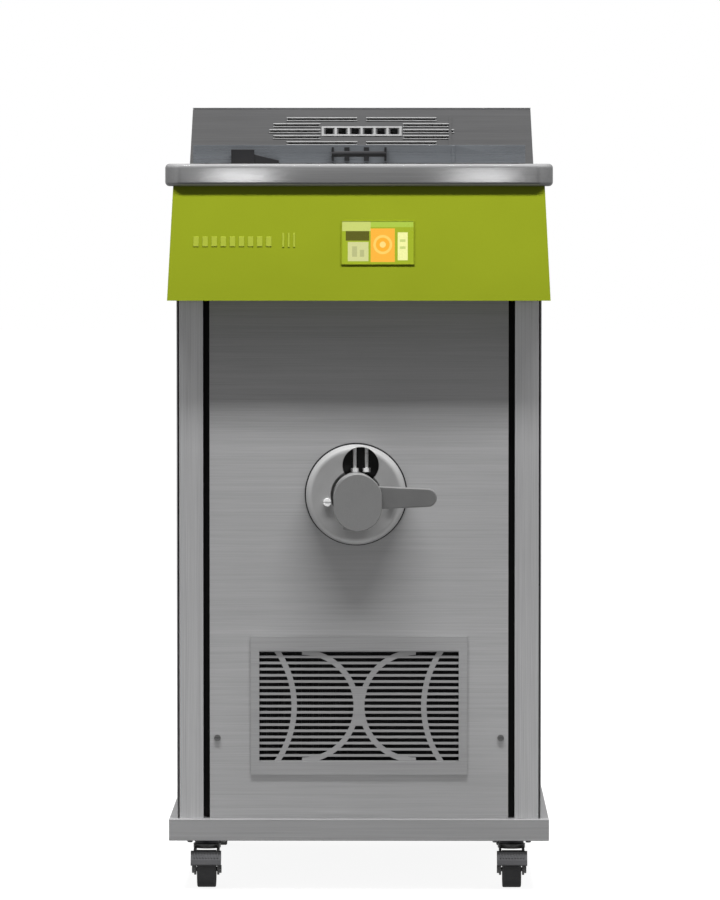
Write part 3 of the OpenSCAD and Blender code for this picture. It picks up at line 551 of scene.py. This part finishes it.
def lit_screen():
    material, tree, shader = new_finish("lit_screen", roughness=0.12)
    u, v = screen_plane(tree)
    colour = (0.30, 0.38, 0.020)
    fields = [
        ((-0.50, -0.10, 0.27, 0.50), (0.50, 0.56, 0.15)),
        ((-0.10, 0.50, 0.36, 0.50), (0.36, 0.50, 0.06)),
        ((-0.45, -0.12, 0.05, 0.27), (0.09, 0.09, 0.013)),
        ((-0.42, -0.13, -0.42, 0.02), (0.56, 0.57, 0.26)),
        ((-0.36, -0.29, -0.32, -0.08), (0.42, 0.43, 0.20)),
        ((-0.25, -0.19, -0.32, -0.16), (0.42, 0.43, 0.20)),
        ((-0.10, 0.24, -0.44, 0.33), (0.84, 0.40, 0.045)),
        ((0.28, 0.42, -0.40, 0.24), (0.78, 0.78, 0.33)),
        ((0.31, 0.39, 0.02, 0.08), (0.52, 0.58, 0.20)),
        ((0.31, 0.39, -0.14, -0.08), (0.52, 0.58, 0.20)),
    ]
    for box, shade in fields:
        colour = blend_colours(tree, field(tree, u, v, *box), colour, shade)
    icon = (0.07, -0.04)
    colour = blend_colours(tree, disc(tree, u, v, icon, 0.22), colour, (0.93, 0.55, 0.12))
    colour = blend_colours(tree, disc(tree, u, v, icon, 0.16), colour, (0.86, 0.38, 0.03))
    colour = blend_colours(tree, disc(tree, u, v, icon, 0.07), colour, (0.93, 0.62, 0.20))
    speckle = noise(tree, place(tree), 700.0, detail=1.0)
    colour = blend_colours(tree, spread(tree, speckle, 0.0, 0.10), colour, (0.2, 0.22, 0.05))
    wire(tree, blend_colours(tree, 0.8, colour, (0.0, 0.0, 0.0)), shader.inputs["Base Color"])
    wire(tree, colour, shader.inputs["Emission Color"])
    shader.inputs["Emission Strength"].default_value = 0.82
    wire(tree, spread(tree, noise(tree, place(tree), 60.0), 0.25, 0.35), shader.inputs["Roughness"])
    return material


FINISH["screen"] = lit_screen()

# %% [markdown]
# ## Dressing the cabinet
# One table says which finish each piece takes and how far its edges are rounded. Pieces that
# nobody sees without a spanner keep the model's own shape and only take a finish.

# %% Finish and edge radius of each visible piece
ROUNDED = {
    "base_frame": ("steel_tray", 1.5), "front_columns": ("steel_upright", 0.45),
    "front_panel": ("steel_across", 0.4), "side_panel_left": ("steel_side", 0.4),
    "side_panel_right": ("steel_side", 0.4), "rear_panel": ("steel_back", 0.4),
    "worktop": ("steel_rim", 0.0), "fascia": ("lime", 0.9), "screen_bezel": ("lime", 0.3),
    "screen_glass": ("screen", 0.25), "hood_front": ("steel_hood", 0.35), "hood_top": ("steel_top", 0.5),
    "hood_sides": ("steel_side", 0.4), "vent_grille": ("steel_grille", 0.25),
    "cable_gland": ("black_plastic", 0.5), "lid": ("steel_lid", 0.5), "lid_handle": ("black_plastic", 0.6),
    "lid_hinge": ("zinc", 0.5), "lid_switch": ("black_plastic", 1.2), "tap_gasket": ("rubber", 0.3),
    "tap_flange": ("flange", 0.6), "tap_fasteners": ("bright", 0.5), "tap_body": ("blasted", 0.6),
    "tap_plug": ("polished", 0.4), "tap_lever": ("lever", 2.0), "tap_cap": ("blasted", 1.0),
    "castor_plates": ("iron", 0.4), "panel_screws": ("zinc", 0.3),
}
PLAIN = {
    "base_plate": "zinc", "control_board": "board", "motor_shelf": "zinc",
    "electrical_box": "grey_paint", "tank": "polished", "tank_insulation": "foam",
    "evaporator_coil": "copper", "outlet_pipe": "polished", "bearing_housing": "cast",
    "stirrer_shaft": "polished", "stirrer_paddle": "polished", "driven_pulley": "iron",
    "drive_belt": "rubber", "drive_pulley": "iron", "gear_motor": "cast", "lid_seal": "rubber",
    "compressor": "black_enamel", "compressor_feet": "rubber", "condenser": "fins",
    "fan_shroud": "black_enamel", "fan_motor": "cast", "fan_blades": "black_plastic",
}
for corner in ("fl", "fr", "rl", "rr"):
    ROUNDED["castor_fork_" + corner] = ("zinc", 0.5)
    ROUNDED["castor_wheel_" + corner] = ("tread", 0.0)
for corner in ("fl", "fr"):
    ROUNDED["brake_pedal_" + corner] = ("grey_plastic", 0.8)
for node, (finish, width) in ROUNDED.items():
    rounded(node, FINISH[finish], width)
for node, finish in PLAIN.items():
    dress(node, FINISH[finish])
print("rounded pieces:", len(ROUNDED), "plain pieces:", len(PLAIN))

# %% [markdown]
# ## Rim lamps
# A folded steel rim mirrors the lamps of the room as bright stretches with a dull one between them.
# Two small lamps near the rim make them. Painting them into the colour would be simpler, but they
# would stay put from every side. Light linking keeps both lamps to the worktop alone, because they
# would also brighten the lid and the panel.

# %% Rim lamps
rim_only = bpy.data.collections.new("rim_only")
for piece in [o for o in scene.objects if o.type == "MESH" and "worktop" in o.name]:
    rim_only.objects.link(piece)
for side, label in ((-1, "left"), (1, "right")):
    lamp = area_lamp("rim_lamp_" + label, (side * 0.20, panel_y - 0.50, 0.978), (side * 0.20, panel_y, 0.985),
                     (0.10, 0.05), 0.17)
    lamp.visible_diffuse = False
    lamp.light_linking.receiver_collection = rim_only

# %% [markdown]
# ## Repeating details
# Louvre lips, bolts, fins and ribs all repeat by a rule. Two Geometry Nodes trees place them: one
# lays a shape out in rows and columns, the other sets it round a ring. Each tree has named inputs
# for its counts and steps, a fixed seed for the small unevenness of pressed metal, and ends by
# making the copies real and giving them their finish.

# %% Node trees that repeat a shape
def new_tree(name, inputs):
    tree = bpy.data.node_groups.new(name, "GeometryNodeTree")
    tree.interface.new_socket("Geometry", in_out="OUTPUT", socket_type="NodeSocketGeometry")
    for label, kind, value in inputs:
        socket = tree.interface.new_socket(label, in_out="INPUT", socket_type="NodeSocket" + kind)
        if value is not None:
            socket.default_value = value
    return tree, add_node(tree, "NodeGroupInput"), add_node(tree, "NodeGroupOutput")


def finish_tree(tree, given, out, points, turn=None):
    """Puts the shape on the points, a little unevenly, and makes the copies real."""
    shape = add_node(tree, "GeometryNodeObjectInfo", transform_space="ORIGINAL")
    wire(tree, given.outputs["Shape"], shape.inputs["Object"])
    uneven = add_node(tree, "FunctionNodeRandomValue", data_type="FLOAT")
    uneven.inputs[2].default_value = -1.0
    uneven.inputs[3].default_value = 1.0
    wire(tree, given.outputs["Seed"], uneven.inputs["Seed"])
    size = maths(tree, "ADD", maths(tree, "MULTIPLY", uneven.outputs[1], given.outputs["Unevenness"]), 1.0)
    copies = add_node(tree, "GeometryNodeInstanceOnPoints")
    wire(tree, points, copies.inputs["Points"])
    wire(tree, shape.outputs["Geometry"], copies.inputs["Instance"])
    wire(tree, size, copies.inputs["Scale"])
    if turn is not None:
        wire(tree, turn, copies.inputs["Rotation"])
    real = add_node(tree, "GeometryNodeRealizeInstances")
    wire(tree, copies.outputs["Instances"], real.inputs["Geometry"])
    finish = add_node(tree, "GeometryNodeSetMaterial")
    wire(tree, real.outputs["Geometry"], finish.inputs["Geometry"])
    wire(tree, given.outputs["Finish"], finish.inputs["Material"])
    wire(tree, finish.outputs["Geometry"], out.inputs["Geometry"])


SHARED = [("Shape", "Object", None), ("Finish", "Material", None), ("Unevenness", "Float", 0.0),
          ("Seed", "Int", 7)]


def grid_tree():
    tree, given, out = new_tree("rows_and_columns", SHARED + [
        ("Columns", "Int", 1), ("Rows", "Int", 1), ("Column Step", "Vector", (0.01, 0, 0)),
        ("Row Step", "Vector", (0, 0, 0.01))])
    points = add_node(tree, "GeometryNodePoints")
    total = maths(tree, "MULTIPLY", given.outputs["Columns"], given.outputs["Rows"])
    wire(tree, total, points.inputs["Count"])
    index = add_node(tree, "GeometryNodeInputIndex").outputs[0]
    steps = []
    for count, label in (("MODULO", "Column Step"), ("DIVIDE", "Row Step")):
        number = maths(tree, "FLOOR", maths(tree, count, index, given.outputs["Columns"]))
        step = add_node(tree, "ShaderNodeVectorMath", operation="SCALE")
        wire(tree, given.outputs[label], step.inputs[0])
        wire(tree, number, step.inputs["Scale"])
        steps.append(step.outputs[0])
    where = add_node(tree, "ShaderNodeVectorMath", operation="ADD")
    wire(tree, steps[0], where.inputs[0])
    wire(tree, steps[1], where.inputs[1])
    wire(tree, where.outputs[0], points.inputs["Position"])
    finish_tree(tree, given, out, points.outputs[0])
    return tree


def ring_tree():
    tree, given, out = new_tree("round_a_ring", SHARED + [("Count", "Int", 8), ("Radius", "Float", 0.01)])
    points = add_node(tree, "GeometryNodePoints")
    wire(tree, given.outputs["Count"], points.inputs["Count"])
    index = add_node(tree, "GeometryNodeInputIndex").outputs[0]
    angle = maths(tree, "MULTIPLY", maths(tree, "DIVIDE", index, given.outputs["Count"]), 2 * math.pi)
    where = add_node(tree, "ShaderNodeCombineXYZ")
    for part, label in (("COSINE", "X"), ("SINE", "Y")):
        wire(tree, maths(tree, "MULTIPLY", maths(tree, part, angle), given.outputs["Radius"]), where.inputs[label])
    wire(tree, where.outputs[0], points.inputs["Position"])
    turn = add_node(tree, "ShaderNodeCombineXYZ")
    wire(tree, angle, turn.inputs["Z"])
    finish_tree(tree, given, out, points.outputs[0], turn.outputs[0])
    return tree


GRID, RING = grid_tree(), ring_tree()
print("trees:", GRID.name, RING.name)

# %% [markdown]
# A tree runs on an empty carrier. Its result becomes a plain mesh in its real place, several
# results make one piece, and the carrier and the pattern shape are thrown away.

# %% Shapes and pieces
def bar_shape(size, soften=0.25):
    """A bar with chamfered edges, sizes in millimetres, centred on its middle."""
    shape = bmesh.new()
    bmesh.ops.create_cube(shape, size=1.0)
    bmesh.ops.scale(shape, vec=Vector(size) * MM, verts=shape.verts)
    bmesh.ops.bevel(shape, geom=shape.edges[:], offset=soften * MM, segments=1, affect="EDGES", profile=0.5)
    return shape


def head_shape(radius, height, sides=6, dome=0.78):
    """A bolt or rivet head that stands on its own plane and looks along +Z."""
    shape = bmesh.new()
    for low, high, foot, top in ((0.0, 0.72, 1.0, 1.0), (0.72, 1.0, 1.0, dome)):
        ring = bmesh.ops.create_cone(shape, cap_ends=False, segments=sides, radius1=foot * radius * MM,
                                     radius2=top * radius * MM, depth=(high - low) * height * MM)
        bmesh.ops.translate(shape, vec=(0, 0, (low + high) / 2 * height * MM), verts=ring["verts"])
    bmesh.ops.remove_doubles(shape, verts=shape.verts, dist=1e-6)
    bmesh.ops.holes_fill(shape, edges=[edge for edge in shape.edges if edge.is_boundary], sides=0)
    bmesh.ops.recalc_face_normals(shape, faces=shape.faces)
    return shape


def at(x, y, z, turn=(0, 0, 0)):
    """A place in millimetres and a turn in degrees."""
    turned = Matrix.Identity(4)
    for axis, degrees in zip("XYZ", turn):
        turned = Matrix.Rotation(math.radians(degrees), 4, axis) @ turned
    return Matrix.Translation(Vector((x, y, z)) * MM) @ turned


def grow(tree, shape, finish, **sizes):
    """Runs one tree and returns its result as a plain mesh."""
    pattern_mesh = bpy.data.meshes.new("pattern")
    shape.to_mesh(pattern_mesh)
    shape.free()
    pattern = bpy.data.objects.new("pattern", pattern_mesh)
    carrier = bpy.data.objects.new("carrier", bpy.data.meshes.new("carrier"))
    scene.collection.objects.link(pattern)
    scene.collection.objects.link(carrier)
    modifier = carrier.modifiers.new("repeat", "NODES")
    modifier.node_group = tree
    values = {"Shape": pattern, "Finish": finish, **sizes}
    for socket in tree.interface.items_tree:
        if socket.item_type == "SOCKET" and socket.in_out == "INPUT" and socket.name in values:
            modifier[socket.identifier] = values[socket.name]
    graph = bpy.context.evaluated_depsgraph_get()
    result = bpy.data.meshes.new_from_object(carrier.evaluated_get(graph), depsgraph=graph)
    for used in (carrier, pattern):
        mesh = used.data
        bpy.data.objects.remove(used)
        bpy.data.meshes.remove(mesh)
    return result


def detail(name, body, slot, finish, runs):
    """One piece made of several runs: (tree, shape, place, sizes)."""
    whole = bmesh.new()
    for tree, shape, where, sizes in runs:
        mesh = grow(tree, shape, finish, **sizes)
        mesh.transform(where)
        whole.from_mesh(mesh)
        bpy.data.meshes.remove(mesh)
    mesh = bpy.data.meshes.new(name)
    whole.to_mesh(mesh)
    whole.free()
    mesh.materials.append(finish)
    for face in mesh.polygons:
        face.material_index = 0
        face.use_smooth = True
    mesh.set_sharp_from_angle(angle=math.radians(30))
    piece = bpy.data.objects.new(name, mesh)
    scene.collection.objects.link(piece)
    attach(piece, body)
    print(name, "faces:", len(mesh.polygons))
    return piece

# %% [markdown]
# ## Louvres
# Every slot in the hood, the sides and the back has a pressed lip along its upper edge that keeps
# drips out and catches the light. The hood's lips follow its oval field and lean back with it, and
# a raised frame surrounds the six square holes.

# %% Louvre lips
FRONT = panel_y / MM
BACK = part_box("rear_panel")[1].y / MM
hood_lean = math.degrees(math.atan(18 / 82))


def on_hood(x, up, out=0.0):
    """A place on the leaning front of the hood, measured from its foot."""
    base = Matrix.Translation(Vector((0, BACK - 101.5, 1005.0)) * MM)
    return base @ Matrix.Rotation(math.radians(-hood_lean), 4, "X") @ at(x, -out, up)


hood_middle = 50.0
hood_runs = []
for rows, inner, reach, step in ((1, 62, 134.0, 9), (2, 62, 128.1, 18), (2, 8, 108.4, 36)):
    for side in (-1, 1):
        middle = side * (inner + reach) / 2
        for edge, thick in ((2.1, 1.5), (-2.0, 1.0)):
            start = hood_middle - step * (rows - 1) / 2 + edge
            hood_runs.append((GRID, bar_shape((reach - inner + 3, 1.6, thick)), on_hood(middle, start, 0.4),
                              {"Columns": 1, "Rows": rows, "Row Step": (0, 0, step * MM), "Unevenness": 0.01}))
hood_runs.append((GRID, bar_shape((3.4, 1.4, 10.5)), on_hood(-57, hood_middle, 0.4),
                  {"Columns": 7, "Column Step": (19 * MM, 0, 0)}))
hood_runs.append((GRID, bar_shape((118, 1.4, 2.6)), on_hood(0, hood_middle - 6, 0.4),
                  {"Rows": 2, "Row Step": (0, 0, 12 * MM)}))
# Painted highlight: the hood's lips take the lighter satin steel, not the dark steel of the hood they are pressed
# from, so that they show as bright lines.
detail("hood_louvre_lips", "cabinet", "brushed_steel", FINISH["satin"], hood_runs)

for side, label in ((-1, "left"), (1, "right")):
    detail("side_louvre_lips_" + label, "cabinet", "brushed_steel", FINISH["steel_side"], [
        (GRID, bar_shape((2.6, 184, 2.2), 0.5), at(side * 252.6, BACK - 170, 99 + 66.8),
         {"Rows": 10, "Row Step": (0, 0, 16 * MM), "Unevenness": 0.004})])
detail("rear_louvre_lips", "cabinet", "brushed_steel", FINISH["steel_back"], [
    (GRID, bar_shape((304, 2.6, 2.2), 0.5), at(0, BACK + 0.6, 99 + 65.8),
     {"Rows": 14, "Row Step": (0, 0, 14 * MM), "Unevenness": 0.004})])

# %% [markdown]
# ## Fins, bolts and ribs
# Thin fins stand close together on the face of the condenser behind the grille. Hexagon bolts hold
# the castor plates, and domed screws hold the hinge, the electrical box and the compressor's feet.

# %% Fins and bolt heads
detail("condenser_fins", "cabinet", "fin_aluminium", FINISH["fins"], [
    (GRID, bar_shape((0.5, 5, 236), 0.1), at(-141, FRONT + 19.2, 246),
     {"Columns": 95, "Column Step": (3 * MM, 0, 0), "Unevenness": 0.006})])

CASTORS = {"fl": (-212, FRONT + 49), "fr": (212, FRONT + 49), "rl": (-212, BACK - 49), "rr": (212, BACK - 49)}
detail("castor_bolts", "cabinet", "zinc_steel", FINISH["zinc"], [
    (GRID, head_shape(4.2, 3.0), at(x - 23, y + 23, 66, (180, 0, 0)),
     {"Columns": 2, "Rows": 2, "Column Step": (46 * MM, 0, 0), "Row Step": (0, 46 * MM, 0)})
    for x, y in CASTORS.values()])
detail("hinge_screws", "cabinet", "zinc_steel", FINISH["polished"], [
    (GRID, head_shape(2.6, 1.4, sides=12), at(-28, BACK - 118.5, 1007.0),
     {"Columns": 3, "Column Step": (28 * MM, 0, 0)})])
detail("box_screws", "cabinet", "zinc_steel", FINISH["zinc"], [
    (GRID, head_shape(3.0, 1.6, sides=12), at(113, BACK - 154, 142, (90, 0, 0)),
     {"Columns": 2, "Rows": 2, "Column Step": (122 * MM, 0, 0), "Row Step": (0, 214 * MM, 0)})])
detail("compressor_bolts", "cabinet", "zinc_steel", FINISH["zinc"], [
    (GRID, head_shape(5.0, 4.0), at(-196, -3, 121),
     {"Columns": 2, "Rows": 2, "Column Step": (132 * MM, 0, 0), "Row Step": (0, 132 * MM, 0)})])

# %% Castor and pedal ribs
for corner, (x, y) in CASTORS.items():
    runs = []
    for side in (-1, 1):
        runs.append((RING, bar_shape((9.4, 1.4, 1.8), 0.2), at(x + side * 11.6, y - 18, 25, (0, 90, 0)),
                     {"Count": 10, "Radius": 14.0 * MM}))
    detail("wheel_ribs_" + corner, "wheel_" + corner, "rubber", FINISH["tread"], runs)
for corner in ("fl", "fr"):
    x, y = CASTORS[corner]
    detail("pedal_ribs_" + corner, "brake_" + corner, "grey_plastic", FINISH["grey_plastic"], [
        (GRID, bar_shape((1.6, 7.0, 1.2), 0.2), at(x - 16, y - 57.6, 47.9, (61, 0, 0)),
         {"Columns": 9, "Column Step": (4 * MM, 0, 0)})])

# %% [markdown]
# ## Badge
# A row of plain raised bars and three slim lines stand on the fascia where a maker would put a
# name. They lean with the fascia and carry no letters.

# %% Badge
fascia_lean = math.degrees(math.atan(32 / 157))


def on_fascia(x, z, out=0.0):
    proud = 40 - 32 * (z - 817) / 157
    return Matrix.Translation(Vector((x, FRONT - proud, z)) * MM) @ Matrix.Rotation(
        math.radians(-fascia_lean), 4, "X") @ at(0, -out, 0)


detail("badge", "cabinet", "lime_paint", FINISH["lime_light"], [
    (GRID, bar_shape((7.5, 0.9, 14), 0.25), on_fascia(-224, 898.0, 0.2),
     {"Columns": 9, "Column Step": (12.5 * MM, 0, 0)}),
    (GRID, bar_shape((2.6, 0.9, 20), 0.25), on_fascia(-104, 900.0, 0.2),
     {"Columns": 3, "Column Step": (7.5 * MM, 0, 0)})])
